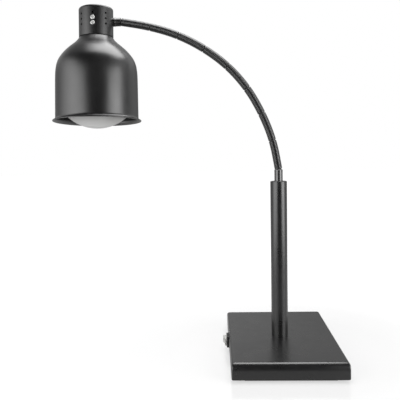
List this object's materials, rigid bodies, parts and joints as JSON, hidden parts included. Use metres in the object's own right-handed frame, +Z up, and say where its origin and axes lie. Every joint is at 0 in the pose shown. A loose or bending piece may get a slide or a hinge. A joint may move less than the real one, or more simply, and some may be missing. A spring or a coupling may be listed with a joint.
{
  "type": "food heat lamp",
  "caption": "Table heat lamp: weighted box base with a rocker switch, tube post, ribbed bendable neck and a bell shade over a reflector bulb.",
  "frame": {"origin": "centre of the base on the surface that the feet stand on", "axes": "+Z up, -X towards the side that the head hangs over and the switch is on, -Y towards the serving side"},
  "size_m": [0.5353, 0.32, 0.6769],
  "materials": {
    "black_coat": "satin black powder coat on steel sheet",
    "black_shade": "satin black coat on spun aluminium",
    "neck_black": "satin black ribbed sheath",
    "raw_steel": "primed steel plate",
    "zinc": "zinc-plated fasteners",
    "rubber": "matt rubber",
    "black_plastic": "fine-textured moulding",
    "rocker_white": "light rocker, slightly milky",
    "ceramic": "glazed steatite",
    "brass": "bare brass",
    "nickel": "nickel-plated",
    "frosted_glass": "frosted face, soft white",
    "terminal_white": "off-white moulding",
    "lead_cover": "smooth sleeving"
  },
  "bodies": {
    "base": {"base_cover": "black_coat", "bottom_plate": "black_coat", "plate_screws": "zinc", "plate_nuts": "zinc", "feet": "rubber", "foot_screws": "zinc", "clinch_nuts": "zinc", "ballast_plate": "raw_steel", "ballast_studs": "zinc", "ballast_nuts": "zinc", "post_tube": "black_coat", "post_stem": "zinc", "stem_washer": "zinc", "stem_nut": "zinc", "post_bush": "black_coat", "switch_body": "black_plastic", "gland_body": "black_plastic", "gland_dome": "black_plastic", "gland_locknut": "black_plastic", "terminal_block": "terminal_white", "terminal_screws": "brass", "earth_stud": "zinc", "earth_washer": "zinc", "earth_nut": "zinc", "switch_leads": "lead_cover", "post_cable": "lead_cover"},
    "switch_rocker": {"rocker": "rocker_white"},
    "neck_foot": {"neck_ferrule": "neck_black", "ferrule_clip": "zinc"},
    "neck_1": {"neck_span_1": "neck_black"},
    "neck_2": {"neck_span_2": "neck_black"},
    "neck_3": {"neck_span_3": "neck_black"},
    "neck_4": {"neck_span_4": "neck_black"},
    "neck_5": {"neck_span_5": "neck_black"},
    "neck_6": {"neck_span_6": "neck_black"},
    "neck_7": {"neck_span_7": "neck_black"},
    "neck_8": {"neck_span_8": "neck_black"},
    "neck_tip": {"neck_end": "neck_black", "arm_nut": "zinc"},
    "head": {"arm_seat": "neck_black", "arm_saddle": "zinc", "shade": "black_shade", "cap": "black_shade", "cap_screws": "zinc", "holder_bracket": "zinc", "bracket_nuts": "zinc", "lampholder": "ceramic", "holder_shell": "nickel", "holder_contact": "brass", "holder_screws": "zinc", "shade_ring": "black_shade", "head_leads": "lead_cover", "bulb_glass": "frosted_glass", "bulb_cap": "nickel", "bulb_insulator": "black_plastic", "bulb_contact": "nickel"}
  },
  "joints": [
    {"name": "rocker_tilt", "type": "hinge", "parent": "base", "child": "switch_rocker", "pos_m": [-0.1047, 0.01, 0.019], "axis": [0, 0, -1], "range_deg": [0, 18]},
    {"name": "neck_turn", "type": "hinge", "parent": "base", "child": "neck_foot", "pos_m": [-0.002, 0, 0.3383], "axis": [0, 0, 1], "range_deg": [-75, 75]},
    {"name": "neck_bend_1", "type": "hinge", "parent": "neck_foot", "child": "neck_1", "pos_m": [-0.002, 0, 0.3618], "axis": [0, -1, 0], "range_deg": [-14, 7]},
    {"name": "neck_bend_2", "type": "hinge", "parent": "neck_1", "child": "neck_2", "pos_m": [-0.012, 0, 0.4168], "axis": [0, -1, 0], "range_deg": [-14, 7]},
    {"name": "neck_bend_3", "type": "hinge", "parent": "neck_2", "child": "neck_3", "pos_m": [-0.0323, 0, 0.46889], "axis": [0, -1, 0], "range_deg": [-14, 7]},
    {"name": "neck_bend_4", "type": "hinge", "parent": "neck_3", "child": "neck_4", "pos_m": [-0.05974, 0, 0.51759], "axis": [0, -1, 0], "range_deg": [-14, 7]},
    {"name": "neck_bend_5", "type": "hinge", "parent": "neck_4", "child": "neck_5", "pos_m": [-0.09619, 0, 0.55997], "axis": [0, -1, 0], "range_deg": [-14, 7]},
    {"name": "neck_bend_6", "type": "hinge", "parent": "neck_5", "child": "neck_6", "pos_m": [-0.14054, 0, 0.594], "axis": [0, -1, 0], "range_deg": [-14, 7]},
    {"name": "neck_bend_7", "type": "hinge", "parent": "neck_6", "child": "neck_7", "pos_m": [-0.18976, 0, 0.6205], "axis": [0, -1, 0], "range_deg": [-14, 7]},
    {"name": "neck_bend_8", "type": "hinge", "parent": "neck_7", "child": "neck_8", "pos_m": [-0.24299, 0, 0.63759], "axis": [0, -1, 0], "range_deg": [-14, 7]},
    {"name": "neck_bend_9", "type": "hinge", "parent": "neck_8", "child": "neck_tip", "pos_m": [-0.29793, 0, 0.64787], "axis": [0, -1, 0], "range_deg": [-14, 7]},
    {"name": "head_turn", "type": "hinge", "parent": "neck_tip", "child": "head", "pos_m": [-0.31403, 0, 0.64798], "axis": [-1, 0, 0.007], "range_deg": [-60, 60]}
  ]
}
